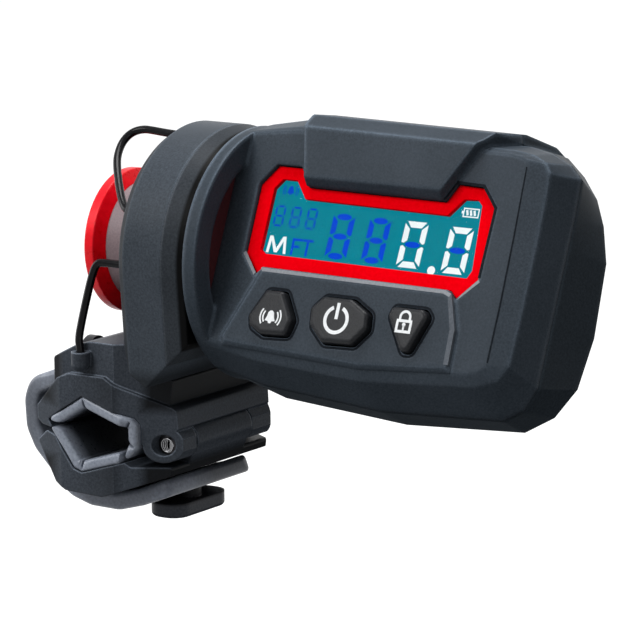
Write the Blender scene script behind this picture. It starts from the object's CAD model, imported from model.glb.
import math

import bmesh
import bpy
from mathutils import Matrix, Vector


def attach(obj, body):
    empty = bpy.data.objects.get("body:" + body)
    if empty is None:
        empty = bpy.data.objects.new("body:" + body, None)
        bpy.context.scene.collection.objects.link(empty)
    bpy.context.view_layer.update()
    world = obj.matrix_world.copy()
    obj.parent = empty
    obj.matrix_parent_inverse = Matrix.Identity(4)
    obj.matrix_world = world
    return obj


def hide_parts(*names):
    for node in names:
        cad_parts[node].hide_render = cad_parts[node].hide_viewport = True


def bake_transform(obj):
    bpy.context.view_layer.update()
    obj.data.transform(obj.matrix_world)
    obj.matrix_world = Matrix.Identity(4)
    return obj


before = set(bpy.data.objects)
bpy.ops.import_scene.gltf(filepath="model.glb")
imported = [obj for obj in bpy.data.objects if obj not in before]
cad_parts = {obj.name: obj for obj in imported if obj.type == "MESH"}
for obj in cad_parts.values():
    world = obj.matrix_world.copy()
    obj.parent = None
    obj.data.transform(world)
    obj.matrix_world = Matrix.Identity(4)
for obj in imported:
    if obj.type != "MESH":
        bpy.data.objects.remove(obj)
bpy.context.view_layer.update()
scene = bpy.context.scene
MM = 0.001

# Camera, at the place that the photograph was taken from
AZIMUTH, ELEVATION, ROLL = math.radians(34.5), math.radians(10.8), math.radians(-0.6)
TARGET = Vector((0.035, 0.0, 0.02264))
DISTANCE = 0.7273
SENSOR_WIDTH = 36.0
FOCAL_LENGTH = 228.6
CLIP_START, CLIP_END = 0.02, 20.0


def make_camera():
    back = Vector((
        math.sin(AZIMUTH) * math.cos(ELEVATION),
        -math.cos(AZIMUTH) * math.cos(ELEVATION),
        math.sin(ELEVATION),
    ))
    right = Vector((math.cos(AZIMUTH), math.sin(AZIMUTH), 0.0))
    up = back.cross(right)
    right_rolled = right * math.cos(ROLL) + up * math.sin(ROLL)
    up_rolled = up * math.cos(ROLL) - right * math.sin(ROLL)
    data = bpy.data.cameras.new("photo_camera")
    data.sensor_width = SENSOR_WIDTH
    data.lens = FOCAL_LENGTH
    data.clip_start = CLIP_START
    data.clip_end = CLIP_END
    camera = bpy.data.objects.new("photo_camera", data)
    scene.collection.objects.link(camera)
    turn = Matrix((right_rolled, up_rolled, back)).transposed().to_4x4()
    camera.matrix_world = Matrix.Translation(TARGET + back * DISTANCE) @ turn
    scene.camera = camera


make_camera()


# Shader nodes: each function gives the socket that holds its result
def set_input(tree, socket, value):
    """Links the socket to the value where that is a socket too, and sets it otherwise."""
    if isinstance(value, bpy.types.NodeSocket):
        tree.links.new(value, socket)
    else:
        socket.default_value = value


def calculated(tree, operation, *values):
    node = tree.nodes.new("ShaderNodeMath")
    node.operation = operation
    for socket, value in zip(node.inputs, values):
        set_input(tree, socket, value)
    return node.outputs[0]


def scaled(tree, color, factor):
    node = tree.nodes.new("ShaderNodeVectorMath")
    node.operation = "SCALE"
    tree.links.new(color, node.inputs[0])
    tree.links.new(factor, node.inputs["Scale"])
    return node.outputs[0]


def mapped(tree, value, from_min, from_max, to_min=0.0, to_max=1.0):
    node = tree.nodes.new("ShaderNodeMapRange")
    set_input(tree, node.inputs["Value"], value)
    set_input(tree, node.inputs["From Min"], from_min)
    set_input(tree, node.inputs["From Max"], from_max)
    set_input(tree, node.inputs["To Min"], to_min)
    set_input(tree, node.inputs["To Max"], to_max)
    return node.outputs[0]


def axes_of(tree, vector):
    """The three outputs of a vector, by the names X, Y and Z."""
    node = tree.nodes.new("ShaderNodeSeparateXYZ")
    tree.links.new(vector, node.inputs[0])
    return node.outputs


def noise(tree, scale, detail=2.0, rough=0.5):
    place = tree.nodes.new("ShaderNodeTexCoord")
    node = tree.nodes.new("ShaderNodeTexNoise")
    node.inputs["Scale"].default_value = scale
    node.inputs["Detail"].default_value = detail
    node.inputs["Roughness"].default_value = rough
    tree.links.new(place.outputs["Object"], node.inputs["Vector"])
    return node.outputs["Fac"]


def ramp(tree, source, *stops):
    """A ramp between two stops, each a place and a colour or a grey level."""
    node = tree.nodes.new("ShaderNodeValToRGB")
    for element, (place, color) in zip(node.color_ramp.elements, stops):
        element.position = place
        element.color = (*(color if isinstance(color, tuple) else (color,) * 3), 1.0)
    tree.links.new(source, node.inputs[0])
    return node.outputs[0]


def soft_normal(tree, radius):
    """The normal as it would be with the edges rounded."""
    node = tree.nodes.new("ShaderNodeBevel")
    node.samples = 6
    node.inputs["Radius"].default_value = radius
    return node.outputs[0]


def flat_normal(tree):
    return tree.nodes.new("ShaderNodeNewGeometry").outputs["Normal"]


def bump(tree, height, strength, distance, bevel):
    node = tree.nodes.new("ShaderNodeBump")
    node.inputs["Strength"].default_value = strength
    node.inputs["Distance"].default_value = distance
    tree.links.new(height, node.inputs["Height"])
    if bevel:
        tree.links.new(soft_normal(tree, bevel), node.inputs["Normal"])
    return node.outputs[0]


# Broad blotches: their scale, and their share beside the fine grain
BLOTCH_SCALE, BLOTCH_SHARE = 90.0, 0.35
# Cosine between flat and softened normal, from a flat face to an edge
FLAT_COSINE, EDGE_COSINE = 0.995, 0.93
# Height of the softened normal, from no wear to full wear
WORN_FROM, WORN_FULL = -0.4, 0.8
# Height of the flat normal, from fully dull to the finish's own gloss
DULL_FROM, DULL_UNTIL = -0.3, 0.0


def edge_mask(tree, radius):
    """1 along edges that face up, where handling has polished the plastic, and 0 on flat faces."""
    soft = soft_normal(tree, radius)
    cosine = tree.nodes.new("ShaderNodeVectorMath")
    cosine.operation = "DOT_PRODUCT"
    tree.links.new(soft, cosine.inputs[0])
    tree.links.new(flat_normal(tree), cosine.inputs[1])
    edge = mapped(tree, cosine.outputs["Value"], FLAT_COSINE, EDGE_COSINE)
    upward = mapped(tree, axes_of(tree, soft)["Z"], WORN_FROM, WORN_FULL)
    return calculated(tree, "MULTIPLY", edge, upward)


# Finishes
def new_material(name):
    material = bpy.data.materials.new(name)
    material.use_nodes = True
    tree = material.node_tree
    tree.nodes.clear()
    out = tree.nodes.new("ShaderNodeOutputMaterial")
    shader = tree.nodes.new("ShaderNodeBsdfPrincipled")
    tree.links.new(shader.outputs[0], out.inputs[0])
    return material, tree, shader


def moulded(name, dark, light, rough=0.5, grain=2600.0, depth=0.00004, bevel=0.0005,
            strength=0.35, specular=0.5, worn=0.0, dull_below=False):
    """Moulded plastic or rubber: fine grain, faint blotches, soft edges, paler where it is worn."""
    material, tree, shader = new_material(name)
    fine = noise(tree, grain, 3.0, 0.6)
    blotches = noise(tree, BLOTCH_SCALE)
    mixed = calculated(tree, "MULTIPLY_ADD", blotches, BLOTCH_SHARE, fine)
    tone = ramp(tree, mixed, (0.45, dark), (0.9, light))
    if worn:
        brighter = calculated(tree, "MULTIPLY_ADD", edge_mask(tree, bevel), worn, 1.0)
        tone = scaled(tree, tone, brighter)
    tree.links.new(tone, shader.inputs["Base Color"])
    gloss = ramp(tree, fine, (0.3, rough - 0.07), (0.7, rough + 0.08))
    if dull_below:
        height = axes_of(tree, flat_normal(tree))["Z"]
        gloss = mapped(tree, height, DULL_FROM, DULL_UNTIL, 1.0, gloss)
    tree.links.new(gloss, shader.inputs["Roughness"])
    tree.links.new(bump(tree, fine, strength, depth, bevel), shader.inputs["Normal"])
    shader.inputs["Specular IOR Level"].default_value = specular
    return material


def dimmed(material, share, *spans):
    """Dims a finish to the share where all of its spans say so.

    A span is an axis and two places on it in metres: where the finish is dim, and where it is
    full. It holds on both sides of the origin, or with a plus sign on the named side alone.
    """
    tree = material.node_tree
    shader = next(node for node in tree.nodes if node.type == "BSDF_PRINCIPLED")
    color = shader.inputs["Base Color"].links[0].from_socket
    axes = axes_of(tree, tree.nodes.new("ShaderNodeTexCoord").outputs["Object"])
    level = None
    for axis, dim, full in spans:
        place = axes[axis[-1]]
        if "+" not in axis:
            place = calculated(tree, "ABSOLUTE", place)
        part = mapped(tree, place, dim, full, share)
        level = part if level is None else calculated(tree, "MAXIMUM", level, part)
    tree.links.new(scaled(tree, color, level), shader.inputs["Base Color"])


def metal(name, color, rough=0.3, metallic=1.0):
    material, tree, shader = new_material(name)
    fine = noise(tree, 900.0, 4.0, 0.6)
    tone = ramp(tree, fine, (0.3, tuple(c * 0.85 for c in color)), (0.75, color))
    tree.links.new(tone, shader.inputs["Base Color"])
    gloss = ramp(tree, fine, (0.3, rough * 0.8), (0.7, rough * 1.25))
    tree.links.new(gloss, shader.inputs["Roughness"])
    tree.links.new(bump(tree, fine, 0.15, 0.00002, 0.0002), shader.inputs["Normal"])
    shader.inputs["Metallic"].default_value = metallic
    return material


def glowing(name, color, glow, strength):
    """A lit surface with a faint unevenness in its glow."""
    material, tree, shader = new_material(name)
    tone = ramp(tree, noise(tree, 500.0), (0.3, tuple(c * 0.92 for c in glow)), (0.7, glow))
    shader.inputs["Base Color"].default_value = (*color, 1.0)
    tree.links.new(tone, shader.inputs["Emission Color"])
    shader.inputs["Emission Strength"].default_value = strength
    shader.inputs["Roughness"].default_value = 0.6
    shader.inputs["Specular IOR Level"].default_value = 0.03
    return material


def clear(name):
    """The display's window: nearly all of it see-through, with a faint reflection."""
    material, tree, shader = new_material(name)
    gloss = ramp(tree, noise(tree, 40.0), (0.3, 0.02), (0.7, 0.05))
    tree.links.new(gloss, shader.inputs["Roughness"])
    shader.inputs["Base Color"].default_value = (0.0, 0.05, 0.06, 1.0)
    shader.inputs["Alpha"].default_value = 0.03
    shader.inputs["Specular IOR Level"].default_value = 0.05
    return material


SHELL = moulded("shell_plastic", (0.026, 0.034, 0.043), (0.045, 0.056, 0.070), rough=0.4,
                bevel=0.0013, specular=0.04, worn=2.4, dull_below=True)
REAR = moulded("rear_plastic", (0.015, 0.020, 0.025), (0.026, 0.033, 0.041), rough=0.4,
               bevel=0.0013, specular=0.04, worn=1.8, dull_below=True)
ARM = moulded("arm_plastic", (0.029, 0.036, 0.044), (0.053, 0.063, 0.077), rough=0.4,
              bevel=0.0008, specular=0.06, worn=1.8, dull_below=True)
dimmed(ARM, 0.35, ("X", 0.0086, 0.0092))
dimmed(ARM, 0.35, ("+Z", 0.0118, 0.0142))
COVER = moulded("cover_plastic", (0.022, 0.026, 0.031), (0.040, 0.046, 0.054), rough=0.4,
                bevel=0.0006, specular=0.04, worn=1.8, dull_below=True)
dimmed(COVER, 0.02, ("X", 0.0207, 0.0201))
CLAMP = moulded("clamp_plastic", (0.030, 0.036, 0.045), (0.060, 0.069, 0.084), rough=0.36,
                specular=0.06, worn=3.6, dull_below=True)
dimmed(CLAMP, 0.1, ("Y", 0.0195, 0.0205), ("Z", 0.006, 0.004), ("X", 0.0095, 0.0075))
dimmed(CLAMP, 0.55, ("+Y", -0.0205, -0.0195), ("+X", 0.003, -0.006))
STUD = moulded("stud_plastic", (0.029, 0.032, 0.038), (0.056, 0.060, 0.070), rough=0.36,
               specular=0.08, worn=2.0, dull_below=True)
dimmed(STUD, 0.12, ("Z", 0.0147, 0.0152))
RED_WHEEL = moulded("red_plastic", (0.72, 0.0, 0.006), (0.92, 0.002, 0.014), rough=0.32,
                    grain=600.0, depth=0.00001, strength=0.12, specular=0.2)
RED_BEZEL = moulded("red_bezel", (0.78, 0.0, 0.003), (0.90, 0.0, 0.006), rough=0.6,
                    grain=1500.0, depth=0.00001, strength=0.15, bevel=0.0002, specular=0.0)
RED_HUB = moulded("red_hub", (0.030, 0.006, 0.008), (0.060, 0.012, 0.014), specular=0.2)
GREY_RUBBER = moulded("grey_rubber", (0.135, 0.150, 0.182), (0.215, 0.236, 0.280), rough=0.36,
                      grain=1800.0, bevel=0.0003, strength=0.2, specular=0.22)
dimmed(GREY_RUBBER, 0.35, ("+Y", 0.001, -0.007), ("+X", 0.009, 0.006))
dimmed(GREY_RUBBER, 0.65, ("+X", -0.0195, -0.0165))
PAD_RUBBER = moulded("pad_rubber", (0.175, 0.195, 0.240), (0.270, 0.300, 0.355), rough=0.32,
                     grain=1800.0, bevel=0.0002, strength=0.2, specular=0.3)
dimmed(PAD_RUBBER, 0.12, ("Y", 0.0165, 0.0198))
BAND_RUBBER = moulded("band_rubber", (0.13, 0.095, 0.105), (0.20, 0.155, 0.165), rough=0.55)
BLACK_RUBBER = moulded("black_rubber", (0.008, 0.008, 0.009), (0.02, 0.02, 0.022), rough=0.55)
KEY_RUBBER = moulded("button_rubber", (0.006, 0.007, 0.008), (0.018, 0.019, 0.022), rough=0.34,
                     grain=3200.0, strength=0.5, bevel=0.0006, specular=0.12, worn=3.0)
LEDGE = moulded("lip_plastic", (0.17, 0.18, 0.20), (0.26, 0.275, 0.30), rough=0.4, bevel=0.0,
                specular=0.2)
SIDE_LIP = moulded("side_lip_plastic", (0.080, 0.090, 0.105), (0.125, 0.138, 0.158), bevel=0.0,
                   specular=0.02)
CREASE = moulded("crease_shadow", (0.010, 0.012, 0.015), (0.018, 0.021, 0.026), rough=0.6,
                 bevel=0.0, specular=0.0)
WIRE = moulded("black_wire", (0.003, 0.003, 0.004), (0.007, 0.007, 0.008), rough=0.16,
               grain=400.0, depth=0.00001, bevel=0.0, strength=0.1, specular=0.09)
STEEL = metal("steel", (0.44, 0.44, 0.45))
DARK_STEEL = metal("dark_steel", (0.03, 0.03, 0.034), rough=0.34, metallic=0.8)
NICKEL = metal("magnet_nickel", (0.72, 0.72, 0.72), rough=0.18)
SPRING = metal("spring_steel", (0.30, 0.30, 0.31), rough=0.36)
BOARD = moulded("board_green", (0.008, 0.07, 0.03), (0.02, 0.12, 0.05), rough=0.35, grain=400.0)
SLEEVE = metal("cell_sleeve", (0.05, 0.055, 0.07), metallic=0.4)
SCREEN = glowing("display_glass", (0.0, 0.01, 0.015), (0.0, 0.245, 0.325), 0.92)
LIGHT_GUIDE = glowing("light_guide", (0.8, 0.9, 0.92), (0.8, 0.95, 1.0), 0.2)
FIGURE_WHITE = glowing("figure_white", (0.1, 0.11, 0.11), (0.92, 0.99, 1.0), 0.95)
FIGURE_BLUE = glowing("figure_blue", (0.0, 0.01, 0.05), (0.0, 0.055, 0.70), 0.95)
FIGURE_DIM = glowing("figure_dim", (0.0, 0.01, 0.05), (0.0, 0.06, 0.60), 0.95)
INK = moulded("icon_ink", (0.62, 0.64, 0.65), (0.78, 0.80, 0.81), grain=1500.0, bevel=0.0)
LENS = clear("lens_clear")

FINISH = {
    "measuring_wheel": RED_WHEEL,
    "traction_band": BAND_RUBBER,
    "wheel_bearings": STEEL,
    "wheel_magnets": NICKEL,
    "wheel_axle": STEEL,
    "axle_screw": STEEL,
    "support_arm": ARM,
    "arm_cover": COVER,
    "cover_screws": DARK_STEEL,
    "sensor_board": BOARD,
    "sensor_lead": BLACK_RUBBER,
    "pivot_bolt": STEEL,
    "pivot_nut": STEEL,
    "friction_washer": SPRING,
    "pivot_hub": RED_HUB,
    "front_housing": SHELL,
    "rear_housing": REAR,
    "housing_gasket": BLACK_RUBBER,
    "housing_screws": DARK_STEEL,
    "display_bezel": RED_BEZEL,
    "display_lens": LENS,
    "lcd_panel": SCREEN,
    "display_backlight": LIGHT_GUIDE,
    "circuit_board": BOARD,
    "buzzer": BLACK_RUBBER,
    "keypad_mat": BLACK_RUBBER,
    "alarm_button": KEY_RUBBER,
    "power_button": KEY_RUBBER,
    "lock_button": KEY_RUBBER,
    "battery_cells": SLEEVE,
    "battery_contacts": NICKEL,
    "battery_door_seal": BLACK_RUBBER,
    "battery_door": REAR,
    "battery_door_screw": STEEL,
    "clamp_body": CLAMP,
    "arm_screws": DARK_STEEL,
    "upper_pad": GREY_RUBBER,
    "hinge_pin": DARK_STEEL,
    "lower_jaw": CLAMP,
    "lower_pad": GREY_RUBBER,
    "strap": GREY_RUBBER,
    "strap_stud": STUD,
    "front_line_loop": WIRE,
    "front_line_guide": WIRE,
    "rear_line_guide": WIRE,
}


def dress_nodes():
    for name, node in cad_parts.items():
        if node.material_slots:
            for held in node.material_slots:
                held.material = FINISH[name]
        else:
            node.data.materials.append(FINISH[name])


dress_nodes()

# Closed meshes
SMOOTH_BELOW = math.radians(35)


def add_piece(name, mesh, material):
    mesh.materials.append(material)
    piece = bpy.data.objects.new(name, mesh)
    scene.collection.objects.link(piece)
    return piece


def add_mesh(name, points, faces, material, smooth=True):
    """A closed piece from points in metres; faces that meet at a steep angle keep a crisp edge."""
    mesh = bpy.data.meshes.new(name)
    mesh.from_pydata([tuple(point) for point in points], [], faces)
    made = bmesh.new()
    made.from_mesh(mesh)
    bmesh.ops.recalc_face_normals(made, faces=made.faces)
    for face in made.faces:
        face.smooth = smooth
    for edge in made.edges:
        edge.smooth = len(edge.link_faces) < 2 or edge.calc_face_angle() < SMOOTH_BELOW
    made.to_mesh(mesh)
    made.free()
    return add_piece(name, mesh, material)


def skin(rings, looped=False):
    """Faces over a row of rings with equally many points; a looped row closes on itself."""
    count, total = len(rings[0]), len(rings)
    points = [point for ring in rings for point in ring]
    faces = []
    for i in range(total if looped else total - 1):
        ahead = (i + 1) % total
        for j in range(count):
            k = (j + 1) % count
            faces.append((i * count + j, i * count + k, ahead * count + k, ahead * count + j))
    if not looped:
        faces.append(tuple(range(count)))
        faces.append(tuple(reversed(range((total - 1) * count, total * count))))
    return points, faces


def beside(points, distance, closed=False):
    """The line of corners, moved to the right of its direction by the distance."""
    moved = []
    last = len(points) - 1
    for i, corner in enumerate(points):
        here = Vector(corner)
        sides = []
        if closed or i > 0:
            sides.append(here - Vector(points[i - 1]))
        if closed or i < last:
            sides.append(Vector(points[(i + 1) % len(points)]) - here)
        normals = [Vector((side.y, -side.x)).normalized() for side in sides]
        middle = (normals[0] + normals[-1]).normalized()
        moved.append(here + middle * (distance / middle.dot(normals[0])))
    return moved


def rounded(points, radius, steps=8):
    """The line with an arc at each corner."""
    line = [Vector(points[0])]
    for before, here, after in zip(points, points[1:], points[2:]):
        here = Vector(here)
        back, ahead = Vector(before) - here, Vector(after) - here
        turn = math.pi - back.angle(ahead)
        cut = min(radius * math.tan(turn / 2), 0.48 * back.length, 0.48 * ahead.length)
        start, end = here + back.normalized() * cut, here + ahead.normalized() * cut
        for k in range(steps + 1):
            t = k / steps
            line.append(start * (1 - t) ** 2 + here * 2 * t * (1 - t) + end * t**2)
    line.append(Vector(points[-1]))
    return line


# Outlines in millimetres
def disc(cx, cz, rx, rz, steps=24):
    turns = [2 * math.pi * i / steps for i in range(steps)]
    return [(cx + rx * math.cos(turn), cz + rz * math.sin(turn)) for turn in turns]


def stroke(x0, z0, x1, z1, width):
    """A straight stroke."""
    length = math.hypot(x1 - x0, z1 - z0)
    nx, nz = -(z1 - z0) / length * width / 2, (x1 - x0) / length * width / 2
    return [(x0 + nx, z0 + nz), (x0 - nx, z0 - nz), (x1 - nx, z1 - nz), (x1 + nx, z1 + nz)]


def arc_strip(cx, cz, radius, width, start, end, steps):
    """A round stroke, from one angle to another in degrees."""
    outer, inner = [], []
    for i in range(steps + 1):
        a = math.radians(start + (end - start) * i / steps)
        for ring, r in ((outer, radius + width / 2), (inner, radius - width / 2)):
            ring.append((cx + r * math.cos(a), cz + r * math.sin(a)))
    return outer + inner[::-1]


# Half of a bell as shares of half its height: width and height from the crown to the clapper
BELL_SIDE = ((0.18, 1.0), (0.5, 0.72), (0.62, 0.1), (0.9, -0.55), (0.35, -0.62), (0.2, -0.95))


def ringing_bell(x, z, size, lift, radii, width, reach, steps):
    """A bell with waves on both sides, whose centre lies higher than the bell's by the lift."""
    half = size / 2
    right = [(x + wide * half, z + tall * half) for wide, tall in BELL_SIDE]
    left = [(x - wide * half, z + tall * half) for wide, tall in reversed(BELL_SIDE)]
    waves = [
        arc_strip(x, z + lift, radius, width, side - reach, side + reach, steps)
        for side in (0, 180)
        for radius in radii
    ]
    return [right + left, *waves]


LEAN = 0.03


def seven_bars(left, right, low, high, width, gap):
    """A figure's bars: top, bottom and the four sides as a list, then the round middle bar."""
    mid = (low + high) / 2

    def at(x, z):
        return (x + LEAN * (z - low), z)

    out, inside = gap, width + gap * 0.4
    top = [
        at(left + out, high),
        at(right - out, high),
        at(right - inside, high - width),
        at(left + inside, high - width),
    ]
    bottom = [
        at(left + inside, low + width),
        at(right - inside, low + width),
        at(right - out, low),
        at(left + out, low),
    ]
    sides = []
    for end, way in ((high, -1), (low, 1)):
        for edge, inner, tip in (
            (left, left + width, left + width * 0.4),
            (right, right - width, right - width * 0.4),
        ):
            sides.append([
                at(edge, end + way * gap),
                at(inner, end + way * (width + gap * 0.7)),
                at(inner, mid - way * (width * 0.55 + gap * 0.3)),
                at(tip, mid - way * gap * 0.55),
                at(edge, mid - way * gap * 0.9),
            ])
    centre = at((left + right) / 2, mid)
    middle = disc(*centre, (right - left) / 2 - width * 0.75, width * 0.5)
    return [top, bottom, *sides], middle


# Places on the head, which is tilted about the wheel's axis
TILT = math.radians(22.8)
AXIS_HEIGHT = 33.0


def on_head(x, depth, up):
    """A point of the head in metres, from its length, depth and height in millimetres."""
    y = depth * math.cos(TILT) + up * math.sin(TILT)
    z = AXIS_HEIGHT - depth * math.sin(TILT) + up * math.cos(TILT)
    return Vector((x, y, z)) * MM


def plates(name, shapes, depth, thickness, material, body, slot):
    """Flat marks on the head: outlines, each raised from the depth by the thickness."""
    mesh = bpy.data.meshes.new(name)
    made = bmesh.new()
    for shape in shapes:
        front = [made.verts.new(on_head(x, depth - thickness, z)) for x, z in shape]
        back = [made.verts.new(on_head(x, depth, z)) for x, z in shape]
        made.faces.new(front)
        made.faces.new(list(reversed(back)))
        for i in range(len(shape)):
            j = (i + 1) % len(shape)
            made.faces.new((front[j], front[i], back[i], back[j]))
    bmesh.ops.recalc_face_normals(made, faces=made.faces)
    made.to_mesh(mesh)
    made.free()
    piece = add_piece(name, mesh, material)
    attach(piece, body)


GAP_THICK = 0.02


def gap_line(name, points, near, far, depth, closed=False):
    """A dark strip on the head beside a line of corners, between two distances from it."""
    top = depth - GAP_THICK
    rings = [
        [on_head(x, y, z) for x, y, z in (
            (a.x, top, a.y), (b.x, top, b.y), (b.x, depth, b.y), (a.x, depth, a.y)
        )]
        for a, b in zip(beside(points, near, closed), beside(points, far, closed))
    ]
    piece = add_mesh(name, *skin(rings, closed), CREASE, smooth=False)
    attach(piece, "head")


# The display's figures and signs
SCREEN_DEPTH = -11.25
FIGURE_THICK = 0.04
# Left side, width, bottom and top of each digit, and whether it is lit
DIGITS = (
    (44.63, 4.6, -1.8, 6.5, False),
    (52.40, 4.5, -1.85, 6.45, False),
    (59.90, 4.75, -1.95, 6.42, True),
    (69.25, 4.8, -2.15, 6.2, True),
)
BAR_WIDTH, BAR_GAP = 1.1, 0.42
DECIMAL_POINT = disc(67.33, -1.97, 0.8, 0.8)
# Left sides of the small digits, and their common width, bottom, top, bar width and gap
SMALL_DIGITS = (32.2, 35.65, 39.1)
SMALL_WIDE, SMALL_LOW, SMALL_HIGH, SMALL_BAR, SMALL_GAP = 2.15, 3.05, 6.95, 0.36, 0.3
LETTER_M = [
    (32.05, -1.85), (32.3, 1.28), (32.95, 1.28), (34.1, -0.95), (35.15, 1.3), (35.8, 1.3),
    (36.3, -1.85), (35.75, -1.85), (35.4, 0.45), (34.4, -1.7), (33.75, -1.7), (32.8, 0.45),
    (32.6, -1.85),
]
LETTERS_FT = [
    stroke(37.5, -1.85, 37.5, 1.2, 0.46),
    stroke(37.73, 0.98, 39.4, 0.98, 0.44),
    stroke(37.73, -0.3, 39.0, -0.3, 0.44),
    stroke(39.55, 0.98, 41.75, 0.98, 0.44),
    stroke(40.62, -1.85, 40.62, 0.76, 0.46),
]
BATTERY = [
    stroke(71.35, 9.67, 74.6, 9.67, 0.22),
    stroke(71.35, 8.2, 74.6, 8.2, 0.22),
    stroke(71.46, 8.31, 71.46, 9.56, 0.22),
    stroke(74.49, 8.31, 74.49, 9.56, 0.22),
    stroke(71.2, 8.7, 71.2, 9.2, 0.3),
    stroke(72.05, 9.4, 72.35, 8.47, 0.42),
    stroke(72.8, 9.4, 73.1, 8.47, 0.42),
    stroke(73.55, 9.4, 73.85, 8.47, 0.42),
]


def make_figures():
    white, blue, dim = [], [], []
    for left, wide, low, high, lit in DIGITS:
        bars, middle = seven_bars(left, left + wide, low, high, BAR_WIDTH, BAR_GAP)
        if lit:
            white.extend(bars)
        else:
            blue.extend(bars[2:])
            for up, side in ((high - 0.55, 0.24), (low + 0.55, 0.02)):
                blue.append(disc(left + wide / 2 + side, up, wide / 2 - 0.75, 0.58))
        blue.append(middle)
    for left in SMALL_DIGITS:
        bars, middle = seven_bars(
            left, left + SMALL_WIDE, SMALL_LOW, SMALL_HIGH, SMALL_BAR, SMALL_GAP
        )
        dim.extend([*bars, middle])
    white.extend([DECIMAL_POINT, LETTER_M, *BATTERY])
    blue.extend(LETTERS_FT)
    dim.extend(ringing_bell(34.6, 9.8, 1.7, 0.0, (1.2, 1.6), 0.15, 35, 8))
    for name, shapes, glow in (
        ("figures_white", white, FIGURE_WHITE),
        ("figures_blue", blue, FIGURE_BLUE),
        ("figures_dim", dim, FIGURE_DIM),
    ):
        plates(name, shapes, SCREEN_DEPTH, FIGURE_THICK, glow, "head", "display_glass")


make_figures()

# Printed icons on the three buttons
KEY_DEPTH = -15.4
INK_THICK = 0.03
POWER_SIGN = [
    arc_strip(52.75, -13.3, 2.3, 0.66, 114, 426, 48),
    stroke(52.7, -13.2, 52.7, -10.25, 0.66),
]
LOCK_SIGN = [
    stroke(65.2, -14.0, 68.4, -14.0, 0.5),
    stroke(65.2, -12.1, 68.4, -12.1, 0.5),
    stroke(65.42, -13.75, 65.42, -12.35, 0.5),
    stroke(68.18, -13.75, 68.18, -12.35, 0.5),
    arc_strip(66.8, -11.4, 1.0, 0.46, 0, 180, 16),
    stroke(65.8, -11.85, 65.8, -11.4, 0.46),
    stroke(67.8, -11.85, 67.8, -11.4, 0.46),
    disc(66.8, -12.75, 0.36, 0.36, 12),
    stroke(66.8, -12.9, 66.8, -13.75, 0.36),
]
BELL_SIGN = ringing_bell(38.95, -14.2, 2.4, 0.05, (1.6, 2.2), 0.3, 38, 12)
plates("bell_icon", BELL_SIGN, KEY_DEPTH, INK_THICK, INK, "alarm_key", "button_rubber")
plates("power_icon", POWER_SIGN, KEY_DEPTH, INK_THICK, INK, "power_key", "button_rubber")
plates("lock_icon", LOCK_SIGN, KEY_DEPTH, INK_THICK, INK, "lock_key", "button_rubber")

# Worn edges that catch the light, and the crease down the right of the face
FACE_DEPTH = -13.0
LIP_DEPTH = -13.2
PANEL_LIP = [
    (33.6, -5.2), (72.55, -5.6), (74.05, -6.15), (73.7, -6.75), (72.4, -6.25), (33.95, -5.85),
]
PANEL_SIDE_LIP = [
    (74.1, -6.2), (76.15, -12.3), (76.3, -18.6), (75.35, -18.6), (75.2, -12.4), (73.5, -6.9),
]
BEZEL_CORNER_STRIPS = [
    [(28.55, -2.75), (29.05, -2.35), (32.1, -6.05), (31.75, -6.55)],
    [(74.9, -7.0), (75.35, -6.2), (78.4, -3.0), (78.7, -3.45)],
]
CREASE_LINE = [
    (83.1, 17.6), (83.3, 17.6), (83.65, 5.5), (83.75, -6.8), (83.55, -17.2), (83.35, -17.2),
    (83.5, -6.8), (83.4, 5.5),
]
for mark in (
    ("panel_lip_top", [PANEL_LIP], LIP_DEPTH, 0.66, LEDGE),
    ("panel_lip_side", [PANEL_SIDE_LIP], LIP_DEPTH, 0.64, SIDE_LIP),
    ("bezel_corner_edges", BEZEL_CORNER_STRIPS, FACE_DEPTH, 0.05, LEDGE),
    ("face_crease", [CREASE_LINE], FACE_DEPTH, 0.03, CREASE),
):
    plates(*mark, "head", "shell_plastic")

# Dark gaps: along the display's frame where it sits deeper than the face, and round the buttons
# Each gap's edges, as distances from its line of corners
BEZEL_GAP = (-0.55, 0.0)
BUTTON_GAP = (-0.85, -0.42)
BUTTON_CORNER = 1.0
PANEL_DEPTH = -13.8
BEZEL_CORNERS = [(68.3, 10.35), (70.16, 13.49), (75.43, 13.3), (78.5, 9.77), (78.1, -2.7)]
BUTTONS = {
    "alarm_gap": [
        (36.54, -9.31), (40.4, -9.31), (43.35, -14.2), (42.58, -17.09), (37.17, -17.31),
        (34.5, -16.0), (33.94, -14.2),
    ],
    "power_gap": [
        (48.96, -9.31), (54.93, -9.31), (58.86, -11.49), (59.21, -14.31), (56.62, -17.31),
        (50.3, -17.5), (47.21, -14.69), (46.79, -11.6),
    ],
    "lock_gap": [
        (63.57, -9.69), (69.95, -9.69), (71.08, -10.89), (68.41, -17.39), (66.79, -17.39),
        (63.0, -11.41),
    ],
}


def make_gaps():
    gap_line("bezel_gap", BEZEL_CORNERS, *BEZEL_GAP, FACE_DEPTH)
    for name, corners in BUTTONS.items():
        (x0, z0), (x1, z1) = corners[0], corners[-1]
        seam = ((x0 + x1) / 2, (z0 + z1) / 2)
        line = rounded([seam, *corners, seam], BUTTON_CORNER, 4)[:-1]
        gap_line(name, line, *BUTTON_GAP, PANEL_DEPTH, closed=True)


make_gaps()

# Rubber pads: each run is a plump band with rounded ends, pinched where it folds at a corner
LINER = [
    (-11.9, 1.6), (-3.2, 7.0), (7.3, 3.6), (8.3, 2.4), (8.3, -1.9), (5.9, -4.6), (-3.6, -7.5),
    (-5.5, -6.9),
]
PAD_THICK = 2.1
PAD_EDGE = 0.8
PAD_HALF = 20.4
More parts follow.
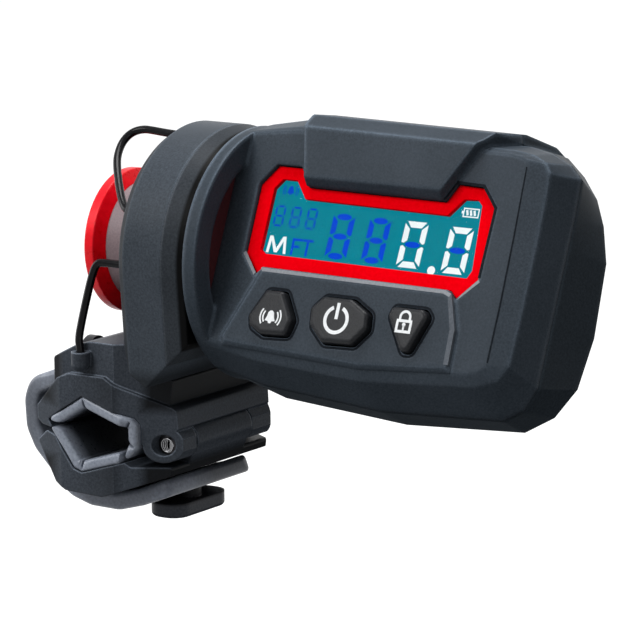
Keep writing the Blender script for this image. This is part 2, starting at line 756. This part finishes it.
# The pads' ends follow the clamp's slanted sides on the right: reach at a place, and fall from it
SLANT_REACH, SLANT_X, SLANT = 21.3, 3.8, 0.58
END_ROUND = 0.9
END_SHARE = 0.3
FOLD_DEPTH = 1.0
FOLD_WIDTH = 0.17
FOLD_CUT = 1.6
PINCH_WIDTH = 0.7
PINCH_CUT = 0.35
PAD_STEP = 0.8
# Distances from each corner at which a run has extra rings, in millimetres
NEAR_CORNER = (0.08, 0.17, 0.27, 0.4, 0.6, 0.9, 1.3)


def pad_reach(x):
    """How far the pads reach forward and back, at that distance across the rod."""
    return min(PAD_HALF, SLANT_REACH - SLANT * (x - SLANT_X))


def pad_stations(outer, inner):
    """Places along the band: its two sides there, the nearest corner and the distance to it."""
    stations = []
    for i in range(len(outer) - 1):
        out_a, out_b = Vector(outer[i]), Vector(outer[i + 1])
        in_a, in_b = Vector(inner[i]), Vector(inner[i + 1])
        length = ((out_b - out_a).length + (in_b - in_a).length) / 2
        places = {0.0, length}
        for reach in NEAR_CORNER:
            if reach < length / 2:
                places |= {reach, length - reach}
        steps = max(1, int(length / PAD_STEP))
        for k in range(1, steps):
            if NEAR_CORNER[-1] < length * k / steps < length - NEAR_CORNER[-1]:
                places.add(length * k / steps)
        for place in sorted(places):
            if stations and place == 0.0:
                continue
            share = place / length
            near, reach = (i, place) if share < 0.5 else (i + 1, length - place)
            stations.append((out_a.lerp(out_b, share), in_a.lerp(in_b, share), near, reach))
    return stations


def make_pad(name, outer, inner, folds, body):
    """A band between two open lines of corners; folds are the corners with a slot on the inside."""
    rings = []
    for out_point, in_point, near, reach in pad_stations(outer, inner):
        across = in_point - out_point
        way = across.normalized()
        thin = 1.0
        if near in (0, len(outer) - 1) and reach < END_ROUND:
            thin = END_SHARE + (1 - END_SHARE) * math.sqrt(1 - (1 - reach / END_ROUND) ** 2)
        pinch = math.exp(-((reach / PINCH_WIDTH) ** 2)) if near in folds else 0.0
        slot = math.exp(-((reach / FOLD_WIDTH) ** 4)) if near in folds else 0.0
        middle = out_point + across / 2
        half = across.length / 2 * thin
        edge = PAD_EDGE * thin
        straight = pad_reach(middle.x) - edge
        ring = []
        for sign in (-1, 1):
            for k in range(11):
                side = (k > 5) - (k < 5)
                angle = math.pi / 2 * min(k, 10 - k, 4) / 4
                offset = -sign * side * (half - edge * (1 - math.cos(angle)))
                inward = min(1.0, max(0.0, (offset / half + 0.45) / 0.9))
                if offset > 0:
                    offset -= slot * FOLD_DEPTH * offset / half
                point = middle + way * offset
                cut = (PINCH_CUT * pinch + FOLD_CUT * slot) * inward
                reach_out = straight + edge * math.sin(angle) - cut
                ring.append(Vector((point.x, sign * reach_out, point.y)) * MM)
        rings.append(ring)
    piece = add_mesh(name, *skin(rings), PAD_RUBBER)
    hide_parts(name.replace("_soft", ""))
    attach(piece, body)


LINER_INSIDE = beside(LINER, PAD_THICK, closed=True)
make_pad(
    "upper_pad_soft",
    [(-11.3, 1.97), *LINER[1:5], (6.2, -4.27)],
    [(-8.65, 1.2), *LINER_INSIDE[1:5], (6.35, -2.25)],
    (1, 2, 4),
    "clamp",
)
make_pad(
    "lower_pad_soft",
    [(5.05, -4.87), *LINER[6:8], (-11.03, 0.4)],
    [(5.25, -2.62), *LINER_INSIDE[6:8], (-8.45, 0.4)],
    (1,),
    "jaw",
)

# Strap: a plump rubber band from the bead in the clamp, round the left and under the jaw
STRAP_LINE = [
    (-11.2, 9.2), (-18.6, 6.4), (-19.7, 3.5), (-19.4, -1.5), (-17.7, -4.8), (-10.2, -12.3),
    (-5.9, -13.55), (0.2, -13.65), (5.5, -12.17), (11.1, -9.95),
]
STRAP_FRONT, STRAP_REAR = -15.0, 13.6
STRAP_THICK = 3.3
STRAP_BEND = 4.0
STRAP_CORNER = 3.0
STRAP_EDGE = 0.95
STRAP_END_SHARE = 0.25
# Extra rings in the last stretch, as shares of it that are left to the end
STRAP_TAIL = (0.6, 0.4, 0.25, 0.12, 0.05, 0.0)
BEAD_RADIUS = 2.0
STUD_X = 5.7
HOLE_RADIUS = 2.8
HOLE_LOW, HOLE_HIGH = -20.0, -5.0


def strap_rings():
    line = rounded(STRAP_LINE, STRAP_BEND)
    line = line[:-1] + [line[-1].lerp(line[-2], share) for share in STRAP_TAIL]
    to_end = [0.0]
    for one, two in zip(reversed(line[:-1]), reversed(line[1:])):
        to_end.append(to_end[-1] + (two - one).length)
    to_end.reverse()
    rings = []
    for i, (here, left) in enumerate(zip(line, to_end)):
        ahead = line[min(i + 1, len(line) - 1)] - line[max(i - 1, 0)]
        normal = Vector((ahead.y, -ahead.x)).normalized()
        thin = 1.0
        if left <= STRAP_EDGE:
            bow = math.sqrt(1 - (1 - left / STRAP_EDGE) ** 2)
            thin = STRAP_END_SHARE + (1 - STRAP_END_SHARE) * bow
        pull = 0.0
        if left < STRAP_CORNER:
            pull = STRAP_CORNER * (1 - math.sqrt(1 - (1 - left / STRAP_CORNER) ** 2))
        half = STRAP_THICK / 2 * thin
        edge = STRAP_EDGE * thin
        front, rear = STRAP_FRONT + pull, STRAP_REAR - pull
        ring = []
        for across, along, first in (
            (half - edge, front + edge, 180),
            (half - edge, rear - edge, 90),
            (-half + edge, rear - edge, 0),
            (-half + edge, front + edge, -90),
        ):
            for k in range(5):
                angle = math.radians(first - 90 * k / 4)
                point = here + normal * (across + edge * math.sin(angle))
                y = along + edge * math.cos(angle)
                ring.append(Vector((point.x, y, point.y)) * MM)
        rings.append(ring)
    return rings


def make_strap():
    strap = add_mesh("strap_soft", *skin(strap_rings()), GREY_RUBBER)
    bead_round = disc(*STRAP_LINE[0], BEAD_RADIUS, BEAD_RADIUS)
    bead_rings = [
        [Vector((x, y, z)) * MM for x, z in bead_round] for y in (STRAP_FRONT, STRAP_REAR)
    ]
    bead = add_mesh("bead", *skin(bead_rings), GREY_RUBBER)
    hole_round = disc(STUD_X, 0.0, HOLE_RADIUS, HOLE_RADIUS)
    hole_rings = [
        [Vector((x, y, z)) * MM for x, y in hole_round] for z in (HOLE_LOW, HOLE_HIGH)
    ]
    hole = add_mesh("hole", *skin(hole_rings), GREY_RUBBER)
    for other, operation in ((bead, "UNION"), (hole, "DIFFERENCE")):
        change = strap.modifiers.new(operation, "BOOLEAN")
        change.operation = operation
        change.object = other
        change.solver = "EXACT"
    bpy.context.view_layer.update()
    changed = strap.evaluated_get(bpy.context.evaluated_depsgraph_get())
    shape = bpy.data.meshes.new_from_object(changed)
    strap.modifiers.clear()
    strap.data = shape
    for spare in (bead, hole):
        bpy.data.objects.remove(spare)
    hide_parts("strap")
    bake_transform(strap)


make_strap()

# Bent wires: the loop over the wheel and the two line guides, and the end of the jaw's spring
WIRE_RADIUS = 0.75
LOOP = [
    (9.3, -4.59, 54.3), (7.0, -4.5, 54.38), (4.66, -4.4, 54.5), (2.3, -4.2, 54.65),
    (-0.1, -4.15, 54.75), (-2.2, -4.9, 54.1), (-3.0, -6.7, 52.55), (-2.4, -9.1, 50.5),
    (-1.1, -11.1, 48.8), (1.7, -14.3, 46.1), (4.9, -17.6, 43.3), (7.0, -19.0, 42.1),
    (9.3, -19.2, 41.99),
]
REAR_GUIDE = [
    (9.3, 18.01, 31.9), (3.2, 18.0, 31.9), (0.9, 18.0, 31.9), (-0.7, 18.0, 31.75),
    (-1.5, 18.3, 30.2), (-2.3, 18.9, 26.5), (-3.3, 19.8, 20.7), (-3.65, 20.35, 17.6),
    (-3.0, 20.7, 15.9), (-3.0, 20.7, 12.7),
]
FRONT_GUIDE = [(x, -y, z) for x, y, z in REAR_GUIDE]
COIL_WIRE_RADIUS = 0.075
COIL_X, COIL_Y, COIL_Z = 12.5, -15.5, -1.4
COIL_PITCH = 0.16
COIL_TURN = 12
COIL_POINTS = 50


def coil_point(k):
    """A point of the spring, whose turns narrow a little as they go in."""
    turn = 2 * math.pi * k / COIL_TURN
    return (
        COIL_X + (1.5 - 0.026 * k) * math.cos(turn),
        COIL_Y + COIL_PITCH * k / COIL_TURN,
        COIL_Z + (1.35 - 0.008 * k) * math.sin(turn),
    )


def make_tube(name, points, radius, material, replaced=None):
    """A round wire on the clamp along a smooth line of points in millimetres."""
    curve = bpy.data.curves.new(name, "CURVE")
    curve.dimensions = "3D"
    spline = curve.splines.new("NURBS")
    spline.points.add(len(points) - 1)
    for point, place in zip(spline.points, points):
        point.co = (*(Vector(place) * MM), 1.0)
    spline.order_u = 3
    spline.use_endpoint_u = True
    spline.resolution_u = 10
    curve.bevel_depth = radius * MM
    curve.bevel_resolution = 4
    curve.use_fill_caps = True
    piece = add_piece(name, curve, material)
    if replaced:
        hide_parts(replaced)
    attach(piece, "clamp")


for name, points, replaced in (
    ("front_loop_wire", LOOP, "front_line_loop"),
    ("front_guide_wire", FRONT_GUIDE, "front_line_guide"),
    ("rear_guide_wire", REAR_GUIDE, "rear_line_guide"),
):
    make_tube(name, points, WIRE_RADIUS, WIRE, replaced)
coil = [coil_point(k) for k in range(COIL_POINTS)]
make_tube("hinge_spring_coil", coil, COIL_WIRE_RADIUS, SPRING)

# Floor, world and lamps
WHITE = (1.0, 1.0, 1.0, 1.0)
FLOOR_HALF = 3.0
FLOOR_HEIGHT = -0.075
FLOOR_GREY = (0.24, 0.24, 0.24, 1.0)
FLOOR_GLOW = 0.95
WORLD_TINT = (0.92, 0.96, 1.0, 1.0)
WORLD_LIGHT = 0.17
LAMP_AIM = Vector((0.035, 0.0, 0.025))
# Name, place, size and power in watts of each lamp
LAMPS = (
    ("key_lamp", (-0.35, -0.75, 0.70), (0.5, 0.5), 8.0),
    ("right_lamp", (0.85, -0.35, 0.35), (0.3, 0.6), 1.1),
    ("top_lamp", (-0.05, 0.12, 0.9), (0.6, 0.35), 8.5),
    ("left_lamp", (-0.75, -0.2, 0.25), (0.3, 0.5), 2.2),
)


def seen_directly(tree):
    """1 for rays from the camera or through gloss and glass, 0 for light that falls on things."""
    path = tree.nodes.new("ShaderNodeLightPath").outputs
    mirrored = calculated(tree, "MAXIMUM", path["Is Camera Ray"], path["Is Glossy Ray"])
    return calculated(tree, "MAXIMUM", mirrored, path["Is Transmission Ray"])


def make_floor():
    mesh = bpy.data.meshes.new("floor")
    corners = ((-1, -1), (1, -1), (1, 1), (-1, 1))
    mesh.from_pydata(
        [(FLOOR_HALF * x, FLOOR_HALF * y, FLOOR_HEIGHT) for x, y in corners], [], [(0, 1, 2, 3)]
    )
    material, tree, shader = new_material("floor_paint")
    shader.inputs["Base Color"].default_value = FLOOR_GREY
    shader.inputs["Roughness"].default_value = 0.9
    shader.inputs["Specular IOR Level"].default_value = 0.0
    shader.inputs["Emission Color"].default_value = WHITE
    glow = calculated(tree, "MULTIPLY", seen_directly(tree), FLOOR_GLOW)
    tree.links.new(glow, shader.inputs["Emission Strength"])
    add_piece("floor", mesh, material)


def make_world():
    world = bpy.data.worlds.new("studio")
    scene.world = world
    world.use_nodes = True
    tree = world.node_tree
    tree.nodes.clear()
    out = tree.nodes.new("ShaderNodeOutputWorld")
    light, seen = (tree.nodes.new("ShaderNodeBackground") for _ in range(2))
    light.inputs[0].default_value = WORLD_TINT
    light.inputs[1].default_value = WORLD_LIGHT
    seen.inputs[0].default_value = WHITE
    seen.inputs[1].default_value = 1.0
    mix = tree.nodes.new("ShaderNodeMixShader")
    tree.links.new(seen_directly(tree), mix.inputs[0])
    tree.links.new(light.outputs[0], mix.inputs[1])
    tree.links.new(seen.outputs[0], mix.inputs[2])
    tree.links.new(mix.outputs[0], out.inputs[0])


def make_lamp(name, place, size, power):
    data = bpy.data.lights.new(name, "AREA")
    data.shape = "RECTANGLE"
    data.size, data.size_y = size
    data.energy = power
    lamp = bpy.data.objects.new(name, data)
    scene.collection.objects.link(lamp)
    lamp.location = place
    lamp.rotation_mode = "QUATERNION"
    lamp.rotation_quaternion = (LAMP_AIM - Vector(place)).to_track_quat("-Z", "Y")


make_floor()
make_world()
for lamp in LAMPS:
    make_lamp(*lamp)

scene.view_settings.view_transform = "Standard"
